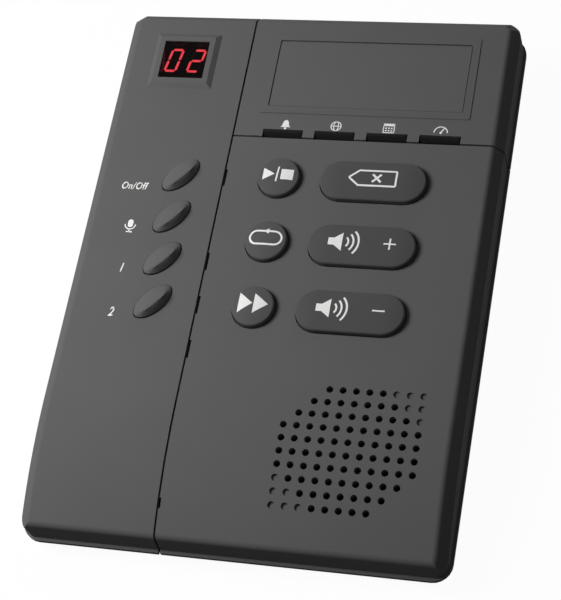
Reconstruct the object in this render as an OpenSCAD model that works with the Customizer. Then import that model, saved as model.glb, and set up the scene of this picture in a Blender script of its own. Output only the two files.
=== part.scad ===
// Desk answering machine: a flat wedge of moulded covers over a tray, with fourteen
// sprung buttons, a two-figure display, a loudspeaker behind a drilled grille and rear sockets.
// Everything on the face is drawn in the face's own frame (x across, y towards the rear,
// z = 0 on the flat of the face) and then leaned back by tilted().

/* [Body] */
// Width over the lips of the covers
body_w = 130.7; // [124:0.1:140]
// Length over the lips of the covers
body_l = 182; // [176:1:196]
// Height of the covers, from the flat of the face to the underside of the lip
cover_h = 14.5; // [13.5:0.5:17]
// Wall of the covers
wall = 2.0; // [1.6:0.1:2.4]
// Corner radius of the lip, seen from above
corner_r = 5.8; // [5:0.1:9]
// Lean of the face, higher at the rear
tilt = 4; // [3:0.5:5]
// How far the tray reaches below the lip at the front
tray_front = 3.5; // [3:0.5:5]

/* [Face] */
// Run of the sloping shoulder along the sides and the rear
bevel_run = 3.0; // [2.5:0.1:4]
// Drop of the sloping shoulder
bevel_drop = 3.6; // [2.5:0.1:4]
// Rounding where the face meets the shoulder
face_edge_r = 2.2; // [0.8:0.1:2.6]
// Rounding where the shoulder meets the walls
shoulder_r = 0.7; // [0.3:0.1:1]
// Corner radius of the face, seen from above
face_corner_r = 2.6; // [1.5:0.1:3.2]
// How far the front curve of the face reaches back from the front end
curve_l = 42.5; // [38:0.5:46]
// Radius of the front curve of the face
curve_r = 145; // [120:5:200]
// Rounding of the front edge
front_edge_r = 2.4; // [0.8:0.1:3]
// How far the front wall leans back over its height
front_lean = 1.6; // [0.5:0.1:3]
// Step of the lip out of the walls
lip_out = 0.7; // [0.4:0.1:1.2]
// Height of the lip
lip_h = 1.6; // [1:0.1:2.4]

/* [Seams] */
// Place of the long seam, from the middle
seam_x = -21.45; // [-24:0.05:-20]
// Length of the upper panel, from the rear end to the cross seam
panel_l = 47.3; // [45:0.1:49]
// Width of the seams
seam_gap = 0.6; // [0.4:0.1:0.8]
// Depth of the small notches beside the long seam
notch_depth = 0.5; // [0.3:0.1:0.8]
// Length of the small notches
notch_l = 6; // [4:0.5:8]
// Length of the sound slot at the front end of the long seam
sound_slot_l = 3; // [2:0.5:5]

/* [Buttons] */
// Travel of every button
travel = 1.0; // [0.6:0.1:1.2]
// Gap all round a button
button_gap = 0.35; // [0.3:0.05:0.5]
// Height of the large buttons above the face
button_rise = 2.5; // [2:0.1:3]
// Rounding of the top edge of the large buttons
button_edge_r = 0.7; // [0.5:0.1:1.2]
// Crown of the large buttons
button_crown = 0.6; // [0.1:0.1:0.6]
// Distance from the cross seam to the last row of large buttons
row_first = 15; // [13:0.1:16]
// Share of the length between the cross seam and the speaker from row to row
row_share = 0.289; // [0.26:0.001:0.3]
// Diameter of the round buttons
round_d = 13.3; // [11:0.1:14]
// Place of the column of round buttons
round_x = -3.35; // [-5:0.05:-2]
// Length of the lozenge buttons
lozenge_l = 33.4; // [30:0.1:36]
// Width of the lozenge buttons
lozenge_w = 13.4; // [12:0.1:15]
// Place of the column of lozenge buttons
lozenge_x = 26.65; // [24:0.05:28]
// Length of the leaf buttons
leaf_l = 13.9; // [13:0.1:17]
// Width of the leaf buttons
leaf_w = 7.4; // [7:0.1:10]
// Height of the ridge of the leaf buttons
leaf_rise = 2.6; // [1.8:0.1:3]
// Turn of the leaf buttons from crosswise
leaf_turn = 48; // [40:1:55]
// Distance between the leaf buttons
leaf_pitch = 14.8; // [13.5:0.1:16]
// Distance from the cross seam to the last leaf button
leaf_first = 15.3; // [14:0.1:18]
// Place of the column of leaf buttons
leaf_x = -35.6; // [-38:0.05:-33]
// Width of the small keys
key_w = 12.3; // [10:0.1:13]
// Distance between the small keys
key_pitch = 16.75; // [16:0.05:17.5]
// Place of the first small key
key_first_x = -5.35; // [-7:0.05:-4]
// Depth of the notch that a small key sits in
key_notch = 2.6; // [2:0.1:3.5]

/* [Display] */
// Width of the dark window
window_w = 15.2; // [14:0.1:17]
// Length of the dark window
window_l = 14; // [12:0.1:16]
// Middle of the window, across
window_x = -43.05; // [-45:0.05:-42]
// Middle of the window, from the rear end
window_back = 20.2; // [19:0.1:22]
// Height of the raised surround
surround_rise = 1.1; // [0.4:0.1:1.4]
// Width of the flat ledge of the surround
surround_ledge = 1.75; // [1:0.05:2.5]
// Run of the surround's slopes
surround_run = 1.6; // [0.8:0.1:2]

/* [Window of the upper panel] */
// Width of the inlaid plate
plate_w = 62.2; // [55:0.1:66]
// Length of the inlaid plate
plate_l = 24.3; // [20:0.1:26]
// Middle of the plate, across
plate_x = 19.45; // [17:0.05:21]
// Middle of the plate, from the rear end
plate_back = 23.6; // [22:0.1:25]
// Width of the raised frame round the plate
plate_frame = 2.8; // [2:0.1:3.2]
// Height of the raised frame
plate_rise = 0.25; // [0.15:0.05:0.4]
// Depth of the plate below the top of its frame
plate_sink = 0.3; // [0.15:0.05:0.4]
// Gap all round the plate
plate_gap = 0.25; // [0.15:0.05:0.3]
// Thickness of the plate
plate_t = 0.6; // [0.4:0.1:0.8]

/* [Loudspeaker] */
// Distance between the grille holes
grille_pitch = 4.0; // [3.5:0.1:4.2]
// Diameter of the grille holes
grille_d = 2.1; // [1.6:0.1:2.4]
// Distance of the speaker from the right wall
speaker_side = 5.2; // [4.6:0.1:8]
// Distance of the speaker from the front wall
speaker_front = 4.9; // [4.6:0.1:8]
// Depth of the blind holes that fill out the corners
blind_depth = 0.7; // [0.4:0.1:1]
// Diameter of the speaker
speaker_d = 50; // [46:1:50]

/* [Tray and boards] */
// Inset of the tray's walls from the lip
tray_inset = 4; // [3.4:0.2:5]
// Thickness of the tray's walls and floor
tray_t = 2.0; // [1.6:0.1:2.5]
// Height of the rubber feet below the tray
foot_h = 1.5; // [1:0.25:2.5]
// Diameter of the rubber feet
foot_d = 12; // [9:0.5:14]
// Depth from the face to the top of the button boards
board_depth = 8.2; // [7.8:0.1:9]
// Thickness of the circuit boards
board_t = 1.6; // [1:0.2:1.6]
// Height of the posts under the main board
standoff_h = 1.5; // [1:0.25:2.5]

/* [Hidden] */
$fn = 48;

// Colours
charcoal = "#35353a";
dark_plastic = "#26262a";
board_green = "#2f5b3c";
steel = "#b9bcc0";

// Clearances
seat = 0.15;        // between fixed pieces that drop into each other
run_gap = 0.3;      // between pieces that move past each other
screw_play = 0.05;  // between a screw and the hole that it cuts its thread in
arc_steps = 6;      // straight steps in a rounded corner
far = 300;          // reach of the blocks that cut the form

// Walls and edges of the covers, and the lines that the face is laid out from
wall_half_w = body_w / 2 - lip_out;
wall_half_l = body_l / 2 - lip_out;
curve_start = body_l / 2 - curve_l;
cross_seam_y = body_l / 2 - panel_l;
window_y = body_l / 2 - window_back;
plate_y = body_l / 2 - plate_back;
grille_x = wall_half_w - wall - speaker_d / 2 - speaker_side;
grille_y = -(wall_half_l - wall - speaker_d / 2 - speaker_front);
row_pitch = row_share * (cross_seam_y - grille_y - speaker_d / 2);
row_rear_y = cross_seam_y - row_first;
leaf_rear_y = cross_seam_y - leaf_first;
bevel_len = norm([bevel_run, bevel_drop]);
shift_y = -(cover_h - lip_h / 2) * sin(tilt);
lift = foot_h + (body_l / 2 - tray_inset) * sin(tilt) + (cover_h + tray_front) * cos(tilt);

// Tray
flange_inset = 1.2;
flange_t = 1.5;
rib_t = 1.4;
rib_h = 1.8;

// Bosses and screws: places of the case screws for each cover
boss_d = 6;
tube_d = boss_d + 2.4;
boss_x = body_w / 2 - tray_inset - tube_d / 2 - 0.4;
boss_y = body_l / 2 - tray_inset - tube_d / 2 - 0.4;
case_shank_d = 2.8;
case_head_d = 5.4;
case_head_h = 1.8;
case_head_w = -cover_h - 1;
boss_end_w = -cover_h + 1.5;
left_boss = [[-boss_x, boss_y], [-boss_x, 0], [-boss_x, -boss_y + 4]];
main_boss = [[seam_x + 8, -boss_y + 12], [boss_x, -boss_y + 1], [boss_x, cross_seam_y - 10]];
panel_boss = [[8, boss_y], [boss_x, boss_y]];
board_shank_d = 1.9;
board_head_d = 3.8;
board_head_h = 1.3;
post_d = 4.6;

// Boards under the covers: low corner and high corner, clear of the case bosses
board_x = boss_x - boss_d / 2 - 1;
side_board = [[-board_x, leaf_rear_y - 3 * leaf_pitch - 11], [seam_x - 3, window_y + 10]];
front_board = [[seam_x + 3, row_rear_y - 2 * row_pitch - 12], [board_x, cross_seam_y + 14]];
side_posts = [side_board[0] + [3, 4], [side_board[1][0] - 3.5, side_board[0][1] + 4],
              [side_board[0][0] + 3, cross_seam_y + 2.5]];
front_posts = [for (x = [front_board[0][0] + 3, board_x - 4.5],
                    y = [front_board[0][1] + 3.5, cross_seam_y - 7.7])
               [x, y]];

// Places of the buttons
leaf_y = [for (i = [0:3]) leaf_rear_y - i * leaf_pitch];
row_y = [for (i = [0:2]) row_rear_y - i * row_pitch];
key_x = [for (i = [0:3]) key_first_x + i * key_pitch];
key_stem_y = cross_seam_y + 5.5;
guide_x = [-11, 11]; // guide legs of the lozenge buttons, from their middle
flange_out = 1.0;    // how far the hidden flange of a button reaches under the cover
flange_h = 1.0;
stem_d = 4.4;
pin_d = 2.6;

// Switches
switch_side = 6;
switch_h = 3.4;
switch_bore = 2.2;   // how deep the well is that the button's pin works in
pin_tip_w = -(board_depth - switch_h) - 0.3;

// Display
led_h = board_depth - 0.9;
lens_flange = 0.8;

// Loudspeaker
speaker_seat = face_drop(grille_y - speaker_d / 2) + wall + 0.9; // depth of its flange
ring_t = 1.6;
speaker_flange_t = 1.0;
gasket_t = 0.5;
basket_d = speaker_d - 8;
basket_h = 4;
magnet_d = speaker_d * 0.52;
magnet_h = 4.2;
clamp_r = speaker_d / 2 + 3.3;
clamp_turns = [30, 150, 210, 330];

// Microphone at the front end of the seam
mic_d = 6;
mic_h = 2.7;
mic_wall = 1.2;
mic_y = -body_l / 2 + 12.2;
mic_x = seam_x + seam_gap / 2 + mic_d / 2 + mic_wall + 0.4;
mic_top = 8.2;

// Rear sockets
socket_w = 9.9;
socket_h = 6.8;
socket_depth = 11;
jack_w = 13;
jack_h = 8.8;
jack_l = 14;
power_w = 9;
power_bore_d = 6.2;
power_pin_d = 2;
rear_wall_y = (body_l / 2 - tray_inset) * cos(tilt) + (cover_h + flange_t) * sin(tilt) + shift_y;

// Main board at the rear of the tray, in the frame of the ground
floor_z = foot_h + tray_t;
board_z = floor_z + standoff_h;
parts_z = board_z + board_t;
link_y = cross_seam_y + 9;
main_board_box = [[-board_x + 1.5, link_y - 2.5], [board_x - 1.5, rear_wall_y - 4]];
post_in = 3.5;       // from the edges of the main board to its posts
main_posts = [main_board_box[0] + [post_in, post_in],
              main_board_box[0] + [-2 * main_board_box[0][0] - post_in, post_in],
              [main_board_box[0][0] + post_in, main_board_box[1][1] - 2 * post_in],
              [4.3 * post_in, main_board_box[1][1] - 2.3 * post_in]];
line_x = main_board_box[0][0] + post_in + board_head_d / 2 + 1 + jack_w / 2;
phone_x = line_x + jack_w + 5;
power_x = main_board_box[1][0] - 2 * board_head_d - 3.3;
chip_h = 2.4;
chip_l = 10;         // length of a chip along the body
chips = [[-8, 18], [-40, 16], [20, 10]]; // low side and width of each chip across
chip_y = link_y + chip_l / 2;
cap_d = 6.3;
cap_h = 7.5;
cap_x = power_x - power_w / 2 - 0.9 * cap_d; // of the one beside the power socket
cap_places = [[cap_x - 1.3 * cap_d, main_board_box[1][1] - 1.2 * cap_d],
              [cap_x, main_board_box[1][1] - 1.2 * cap_d],
              [cap_x + 1.6 * cap_d, link_y + 1.4 * cap_d]];
link_w = 10;
link_l = 2.5;
foot_side = 17;      // from the sides to the middles of the feet
foot_end = 20;       // from the ends to the middles of the feet
foot_places = [for (x = [-1, 1], y = [-1, 1])
               [x * (body_w / 2 - foot_side), y * (body_l / 2 - foot_end) + shift_y]];

// Point lists

function unit(v) = v / norm(v);

// A corner b between a and c, turned into an arc of radius r
function corner_arc(a, b, c, r) =
    r <= 0 ? [b] :
    let (u = unit(a - b), v = unit(c - b), half = acos(u * v) / 2,
         centre = b + unit(u + v) * r / sin(half),
         from = b + u * r / tan(half) - centre,
         way = cross(u, v) > 0 ? -1 : 1,
         start = atan2(from[1], from[0]))
    [for (i = [0:arc_steps])
        let (turn = start + way * (180 - 2 * half) * i / arc_steps)
        centre + r * [cos(turn), sin(turn)]];

// A closed outline whose corners are rounded, each by its own radius
function round_path(points, radii) =
    let (n = len(points))
    [for (i = [0:n - 1])
        each corner_arc(points[(i + n - 1) % n], points[i], points[(i + 1) % n], radii[i])];

// A rectangle from corner to corner with rounded corners
function round_box(low, high, r) =
    round_path([low, [high[0], low[1]], high, [low[0], high[1]]], [r, r, r, r]);

// The plan of the covers' walls, drawn in by t
function plan(t) =
    let (x = wall_half_w - t, y = wall_half_l - t)
    round_box([-x, -y], [x, y], corner_r - lip_out - t);

// How far the face has curved down at y
function face_drop(y) = curve_r - sqrt(pow(curve_r, 2) - pow(max(0, -y - curve_start), 2));

// Face edge and shoulder of a side whose wall stands at half, drawn in by t
function side_edge(half, t) =
    let (face = half - bevel_run)
    [[face - t * (bevel_len - bevel_run) / bevel_drop, -t],
     [half - t, (-t * bevel_len - bevel_drop * (bevel_run - t)) / bevel_run]];

// The section across the body, down to depth, drawn in by t
function cross_section(t, depth) =
    let (e = side_edge(wall_half_w, t), r = t > 0 ? 0 : face_edge_r)
    round_path([[-e[1][0], -depth], [e[1][0], -depth], e[1], e[0],
                [-e[0][0], e[0][1]], [-e[1][0], e[1][1]]],
               [0, 0, min(r, shoulder_r), r, r, min(r, shoulder_r)]);

// The profile along the body, down to depth, drawn in by t: the front wall and its rounded edge,
// a line that leaves the face's curve free, and the shoulder at the rear
function long_profile(t, depth) =
    let (e = side_edge(wall_half_l, t), r = t > 0 ? 0 : face_edge_r,
         front = wall_half_l - front_lean - t, turn = asin((front - curve_start) / (curve_r - t)),
         top = [-front, (curve_r - t) * cos(turn) - curve_r],
         foot = [-wall_half_l + t, -cover_h], down = unit(foot - top))
    round_path([top + down * (depth + top[1]) / -down[1], top, top + 55 * [cos(turn), sin(turn)],
                [e[0][0] - 45, e[0][1] + 0.8], e[0], e[1], [e[1][0], -depth]],
               [0, t > 0 ? 0 : front_edge_r, 0, 0, r, min(r, shoulder_r), 0]);

// The outline of a leaf: an oval whose ends are drawn in a little
function leaf_outline(grow, n) =
    [for (i = [0:n - 1])
        let (a = 360 * i / n)
        [(leaf_l / 2 + grow) * cos(a),
         (leaf_w / 2 + grow) * sin(a) * pow(abs(sin(a)), 0.1)]];

// Placing

// Leans the face back and stands the part on its feet
module tilted() {
    translate([0, shift_y, lift]) rotate([tilt, 0, 0]) children();
}

// Stands an outline up as a slab between two heights
module slab(points, low, high) {
    translate([0, 0, low]) linear_extrude(high - low) polygon(points);
}

// A box between two corners
module block(low, high) {
    translate(low) cube(high - low);
}

module post(at, d, low, high) {
    translate([at[0], at[1], low]) cylinder(d = d, h = high - low);
}

module at_each(places) {
    for (p = places) translate([p[0], p[1], 0]) children();
}

// The moulded form of the covers, drawn in by t and reaching down to depth
module form(t, depth) {
    reach = depth + 1;
    intersection() {
        union() {
            translate([0, far / 2, 0]) rotate([90, 0, 0])
                linear_extrude(far / 2 + curve_start) polygon(cross_section(t, reach));
            translate([0, -curve_start, -curve_r]) rotate([0, -90, 180])
                rotate_extrude(angle = 25, $fn = 180)
                    polygon([for (p = cross_section(t, reach)) [p[1] + curve_r, p[0]]]);
        }
        rotate([90, 0, 90]) translate([0, 0, -far / 2])
            linear_extrude(far) polygon(long_profile(t, reach));
        slab(plan(t), -depth, far / 10);
    }
}

// Planes that carry the shoulder round a corner: each touches an upper arc at the level of the
// face and a lower arc at the foot of the shoulder, and eases into the face by edge
module corner_planes(upper, upper_r, lower, lower_r, edge, t) {
    step = 90 / arc_steps;
    for (k = [0:arc_steps - 1]) {
        turn = (k + 0.5) * step;
        near = upper * [cos(turn), sin(turn)] + upper_r * cos(step / 2);
        foot = lower * [cos(turn), sin(turn)] + lower_r * cos(step / 2);
        slope = atan2(bevel_drop, foot - near);
        for (a = t > 0 ? [slope] : [slope / 4, slope / 2, slope * 3 / 4, slope])
            rotate(turn)
                translate([near + edge * (sin(a) - tan(slope / 2)), 0, edge * (cos(a) - 1)])
                    rotate([0, a, 0]) translate([-20, -20, -t]) cube([60, 40, 20]);
    }
}

// The same at the rear corners, and at the front corners, where the face leans with its curve
module corner_cuts(ends, t) {
    r = corner_r - lip_out;
    edge = [wall_half_w - bevel_run, wall_half_l - bevel_run];
    for (end = ends) mirror([end[0] < 0 ? 1 : 0, 0, 0])
        if (end[1] > 0) {
            corner_planes(edge - [face_corner_r, face_corner_r], face_corner_r,
                          [wall_half_w - r, wall_half_l - r], r, face_edge_r, t);
        } else {
            at = wall_half_l - front_lean - face_corner_r;
            lean = asin((at - curve_start) / curve_r);
            wall_lean = atan2(front_lean, cover_h - face_drop(-at));
            foot = [wall_half_w, face_corner_r + bevel_drop * tan(lean + wall_lean)];
            translate([0, -at, -face_drop(-at)]) rotate([lean, 0, 0]) mirror([0, 1, 0])
                corner_planes([edge[0] - face_corner_r, 0], face_corner_r,
                              foot - [r - 0.8, r - 0.8], r - 0.8, front_edge_r, t);
        }
}

// The lip that runs round the foot of the covers
module lip() {
    x = body_w / 2;
    y = body_l / 2;
    slab(round_box([-x, -y], [x, y], corner_r), -cover_h, -cover_h + lip_h);
}

// The whole shell, before the seams part it, with the named corners of the face carried round
module cover_shell(ends) {
    difference() {
        union() {
            difference() {
                form(0, cover_h);
                corner_cuts(ends, 0);
            }
            lip();
        }
        difference() {
            form(wall, cover_h + 1);
            corner_cuts(ends, wall);
        }
    }
}

// Posts and ribs under a cover: they reach up into its skin and never through it
module under_skin() {
    intersection() {
        form(wall / 2, cover_h);
        children();
    }
}

// Case screw boss with its thread hole
module case_boss() {
    difference() {
        post([0, 0], boss_d, boss_end_w, 0);
        post([0, 0], case_shank_d + 2 * screw_play, boss_end_w - 1, -bevel_drop - wall - 1.5);
    }
}

// Post for a button board
module board_post() {
    difference() {
        post([0, 0], post_d, -board_depth, 0);
        post([0, 0], board_shank_d + 2 * screw_play, -board_depth - 1, -wall - 1);
    }
}

// Housing

module left_cover() {
    edge = seam_x - seam_gap / 2;
    color(charcoal) tilted() difference() {
        union() {
            intersection() {
                cover_shell([[-1, 1], [-1, -1]]);
                block([-far, -far, -far], [edge, far, far]);
            }
            display_surround();
            seam_tongue();
            under_skin() {
                at_each(left_boss) case_boss();
                at_each(side_posts) board_post();
            }
        }
        for (y = leaf_y) translate([leaf_x, y, 0]) rotate(leaf_turn)
            slab(leaf_outline(button_gap, 32), -wall - 1, 5);
        translate([window_x, window_y, 0])
            block([-window_w / 2, -window_l / 2, -wall - 1], [window_w / 2, window_l / 2, 5]);
    }
}

// The raised surround of the window, with a slope on every side
module display_surround() {
    x = window_w / 2 + surround_ledge;
    y = window_l / 2 + surround_ledge;
    foot = surround_run * (surround_rise + wall / 2) / surround_rise;
    translate([window_x, window_y, 0]) intersection() {
        rotate([90, 0, 0]) translate([0, 0, -y - far]) linear_extrude(2 * (y + far))
            polygon([[-x - foot, -wall / 2], [x + foot, -wall / 2], [x, surround_rise],
                     [-x, surround_rise]]);
        rotate([90, 0, 90]) translate([0, 0, -x - far]) linear_extrude(2 * (x + far))
            polygon([[-y - foot, -wall / 2], [y + foot, -wall / 2], [y, surround_rise],
                     [-y, surround_rise]]);
    }
}

// A strip of the left cover that reaches under the other covers and keeps the light in
module seam_tongue() {
    reach = 2.2;
    edge = seam_x - seam_gap / 2;
    length = [[mic_y + 7, cross_seam_y - 7], [cross_seam_y + 9, body_l / 2 - 8]];
    for (y = length) {
        intersection() {
            difference() {
                form(wall + run_gap, cover_h);
                form(wall + run_gap + 1.2, cover_h + 1);
            }
            block([edge - reach, y[0], -9], [edge + reach, y[1], 0]);
        }
        intersection() {
            difference() {
                form(wall / 2, cover_h);
                form(wall + run_gap + 1.2, cover_h + 1);
            }
            block([edge - reach, y[0], -9], [edge - 0.8, y[1], 0]);
        }
    }
}

// The right-hand side of the shell, between two places along the body
module right_shell(from, to, ends) {
    intersection() {
        cover_shell(ends);
        block([seam_x + seam_gap / 2, from, -far], [far, to, far]);
    }
}

module main_cover() {
    edge = seam_x + seam_gap / 2;
    color(charcoal) tilted() difference() {
        union() {
            right_shell(-far, cross_seam_y - seam_gap / 2, [[1, -1]]);
            under_skin() {
                at_each(main_boss) case_boss();
                at_each(front_posts) board_post();
                speaker_ring();
                mic_ring();
            }
        }
        at_each([for (y = row_y) [round_x, y]])
            post([0, 0], round_d + 2 * button_gap, -wall - 1, 5);
        at_each([for (y = row_y) [lozenge_x, y]]) lozenge_hole();
        grille_holes();
        for (i = [0, 2, 3, 4])
            block([edge - 1, leaf_rear_y - i * leaf_pitch - notch_l / 2, -wall - 1],
                  [edge + notch_depth, leaf_rear_y - i * leaf_pitch + notch_l / 2, 5]);
        block([edge - 1, mic_y - sound_slot_l / 2, -mic_top - 0.5],
              [edge + notch_depth, mic_y + sound_slot_l / 2, 5]);
    }
}

module lozenge_hole() {
    r = lozenge_w / 2 + button_gap;
    x = (lozenge_l - lozenge_w) / 2;
    slab(round_box([-x - r, -r], [x + r, r], r - 0.01), -wall - 1, 5);
}

// The grille: square rows of holes behind an eight-sided outline, and blind dimples that
// square off its rear right and front left corners
module grille_holes() {
    half_span = [2, 3, 4, 5, 5, 5, 5, 4, 3, 2];
    for (row = [0:9], col = [-5:5]) {
        x = grille_x + col * grille_pitch;
        y = grille_y + (4.5 - row) * grille_pitch;
        drop = face_drop(y);
        if (abs(col) <= half_span[row])
            post([x, y], grille_d, -drop - wall - 1, 1);
        else if ((col > 0 && row < 4) || (col < 0 && row > 6))
            post([x, y], grille_d, -drop - blind_depth, 1);
    }
}

// The ring that the speaker is screwed against, with three posts outside it
module speaker_ring() {
    translate([grille_x, grille_y, 0]) {
        difference() {
            post([0, 0], speaker_d - 1, -speaker_seat + gasket_t, 0);
            post([0, 0], speaker_d - 1 - 2 * ring_t, -speaker_seat - 1, 1);
        }
        for (a = clamp_turns) difference() {
            post(clamp_r * [cos(a), sin(a)], post_d, -speaker_seat - speaker_flange_t, 0);
            post(clamp_r * [cos(a), sin(a)], board_shank_d + 2 * screw_play,
                 -speaker_seat - speaker_flange_t - 1, -wall - 3);
        }
    }
}

// The collar that holds the microphone's boot
module mic_ring() {
    difference() {
        post([mic_x, mic_y], mic_d + 2 * mic_wall + 2.4, -mic_top - 2, 0);
        post([mic_x, mic_y], mic_d + 2 * mic_wall + 2 * seat, -mic_top - 3, 1);
        block([-far, -far, -far], [seam_x + seam_gap / 2, far, far]);
    }
}

module upper_panel() {
    low = cross_seam_y + seam_gap / 2;
    color(charcoal) tilted() difference() {
        union() {
            right_shell(low, far, [[1, 1]]);
            under_skin() at_each(panel_boss) case_boss();
            translate([plate_x, plate_y, 0]) plate_surround();
        }
        for (x = key_x)
            block([x - key_w / 2 - button_gap, low - 1, -wall - 1],
                  [x + key_w / 2 + button_gap, low + key_notch, 5]);
        translate([plate_x, plate_y, 0]) {
            sunk = [plate_w / 2 + plate_gap, plate_l / 2 + plate_gap];
            slab(round_box(-sunk, sunk, 0.6), plate_rise - plate_sink - plate_t, 2);
        }
    }
}

// The raised frame of the plate, whose outer edge is taken off
module plate_surround() {
    framed = [plate_w / 2 + plate_frame, plate_l / 2 + plate_frame];
    ease = plate_rise / 2;
    slab(round_box(-framed, framed, 0.8), -wall / 2, plate_rise - ease);
    slab(round_box(-framed + [ease, ease], framed - [ease, ease], 0.8 - ease), 0, plate_rise);
}

module panel_plate() {
    half = [plate_w / 2, plate_l / 2];
    color("#2b2b2f") tilted() translate([plate_x, plate_y, 0])
        slab(round_box(-half, half, 0.5), plate_rise - plate_sink - plate_t, plate_rise - plate_sink);
}

module display_lens() {
    half = [window_w / 2 - seat / 2, window_l / 2 - seat / 2];
    low = [window_w / 2 + 1, window_l / 2 + 1];
    color("#1a0a0a") tilted() translate([window_x, window_y, 0]) {
        slab(round_box(-half, half, 0.3), -wall - 0.1, surround_rise - 0.3);
        slab(round_box(-low, low, 0.5), -wall - lens_flange, -wall);
    }
}

// The tray under the covers: a flange in the plane of the lip with a rib that finds the covers'
// walls, and walls that the ground plane cuts off
module bottom_case() {
    flange = [body_w / 2 - flange_inset, body_l / 2 - flange_inset];
    out = [body_w / 2 - tray_inset, body_l / 2 - tray_inset];
    in = out - [tray_t, tray_t];
    rib = [wall_half_w - wall - seat, wall_half_l - wall - seat];
    rib_lean = [0, front_lean * rib_h / (cover_h - bevel_drop - 2)];
    deep = cover_h + 40;
    bosses = concat(left_boss, main_boss, panel_boss);
    color(dark_plastic) difference() {
        union() {
            difference() {
                tilted() union() {
                    slab(round_box(-out, out, corner_r - 2), -deep, -cover_h);
                    slab(round_box(-flange, flange, corner_r - 1), -cover_h - flange_t, -cover_h);
                    slab(round_box(-rib + rib_lean, rib, corner_r - 3),
                         -cover_h - 0.5, -cover_h + rib_h);
                }
                block([-far, -far, -far], [far, far, foot_h]);
                intersection() {
                    tilted() slab(round_box(-in, in, corner_r - 4), -deep, 5);
                    block([-far, -far, floor_z], [far, far, far]);
                }
                tilted() slab(round_box(-rib + rib_lean + [rib_t, rib_t], rib - [rib_t, rib_t],
                                        corner_r - 4), -cover_h - 0.2, 5);
            }
            intersection() {
                tilted() at_each(bosses) post([0, 0], tube_d, -deep, boss_end_w - run_gap);
                block([-far, -far, floor_z - 1], [far, far, far]);
            }
            for (p = main_posts) post(p, post_d, floor_z - 1, board_z);
        }
        tilted() at_each(bosses) {
            post([0, 0], case_shank_d + 0.6, -deep, 0);
            post([0, 0], case_head_d + 0.6, -deep, case_head_w);
        }
        for (p = main_posts) post(p, board_shank_d + 2 * screw_play, floor_z - 0.6, board_z + 1);
        jack_windows();
        for (p = foot_places) post(p, foot_d + 2 * seat, foot_h - 1, foot_h + 0.6);
    }
}

// Openings in the rear wall for the sockets
module jack_windows() {
    for (x = [line_x, phone_x]) jack_block(x, jack_w + 2 * seat, jack_h + seat, 8, 6);
    jack_block(power_x, power_w + 2 * seat, power_w + seat, 8, 6);
}

// A block on the main board that reaches to the rear wall, and out past it
module jack_block(x, w, h, l, out) {
    block([x - w / 2, rear_wall_y - l, parts_z], [x + w / 2, rear_wall_y + out, parts_z + h]);
}

module rubber_feet() {
    color("#1c1c1e") for (p = foot_places) post(p, foot_d, 0, foot_h + 0.6);
}

// Boards

module board(corners, holes) {
    difference() {
        slab(round_box(corners[0], corners[1], 1), -board_depth - board_t, -board_depth);
        for (p = holes) post(p, board_shank_d + 0.4, -board_depth - board_t - 1, 0);
    }
}

module display_board() {
    color(board_green) tilted() board(side_board, side_posts);
}

module key_board() {
    color(board_green) tilted() difference() {
        board(front_board, front_posts);
        for (x = guide_x, y = row_y)
            post([lozenge_x + x, y], pin_d + 0.8, -board_depth - board_t - 1, 0);
    }
}

module main_board() {
    color(board_green) difference() {
        slab(round_box(main_board_box[0], main_board_box[1], 1), board_z, parts_z);
        for (p = main_posts) post(p, board_shank_d + 0.4, board_z - 1, parts_z + 1);
        tilted() at_each(panel_boss) post([0, 0], tube_d + 2 * run_gap, -cover_h - 30, -cover_h);
    }
}

// A tactile switch: a square housing with a round well in its top
module key_switch() {
    half = switch_side / 2;
    difference() {
        block([-half, -half, -board_depth], [half, half, -board_depth + switch_h]);
        post([0, 0], pin_d + 2 * run_gap, -board_depth + switch_h - switch_bore, 0);
    }
}

module key_switches() {
    color("#3a3a3c") tilted()
        at_each(concat([for (y = leaf_y) [leaf_x, y]], [for (y = row_y) [round_x, y]],
                       [for (y = row_y) [lozenge_x, y]], [for (x = key_x) [x, key_stem_y]]))
            key_switch();
}

module board_chips() {
    color("#202022") for (c = chips)
        block([c[0], chip_y, parts_z], [c[0] + c[1], chip_y + chip_l, parts_z + chip_h]);
}

module board_capacitors() {
    color("#27314f") for (p = cap_places) post(p, cap_d, parts_z, parts_z + cap_h);
}

// Pin headers that join the main board to the two boards above it
module board_link() {
    color("#dcdcd4") for (x = [side_board[1][0] - 1.2 * link_w, seam_x + 2 * link_w])
        intersection() {
            block([x, link_y, parts_z], [x + link_w, link_y + link_l, far]);
            tilted() block([-far, -far, -far], [far, far, -board_depth - board_t]);
        }
}

// Display

module led_display() {
    half = [window_w / 2 - 0.2, window_l / 2 - 0.2];
    color("#181818") tilted() translate([window_x, window_y, 0])
        slab(round_box(-half, half, 0.3), -board_depth, -wall - lens_flange);
}

// Loudspeaker

module at_speaker() {
    tilted() translate([grille_x, grille_y, 0]) children();
}

module speaker_gasket() {
    color("#101010") at_speaker() difference() {
        post([0, 0], speaker_d - 1, -speaker_seat, -speaker_seat + gasket_t);
        post([0, 0], speaker_d - 1 - 2 * ring_t, -speaker_seat - 1, 0);
    }
}

// The pressed basket: a flat flange, a cone of sheet and a flat back with the magnet on it
module speaker_basket() {
    r = speaker_d / 2;
    b = basket_d / 2;
    m = magnet_d / 2;
    t = 0.8;
    top = -speaker_seat;
    low = top - speaker_flange_t - basket_h;
    color(steel) at_speaker() rotate_extrude($fn = 64)
        polygon([[b, top], [r, top], [r, top - speaker_flange_t], [b + t, top - speaker_flange_t],
                 [m + t, low], [4, low], [4, low + t], [m, low + t], [b, top - speaker_flange_t]]);
}

module speaker_magnet() {
    low = -speaker_seat - speaker_flange_t - basket_h;
    color("#4a4a4c") at_speaker() {
        post([0, 0], magnet_d, low - magnet_h, low);
    }
}

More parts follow.
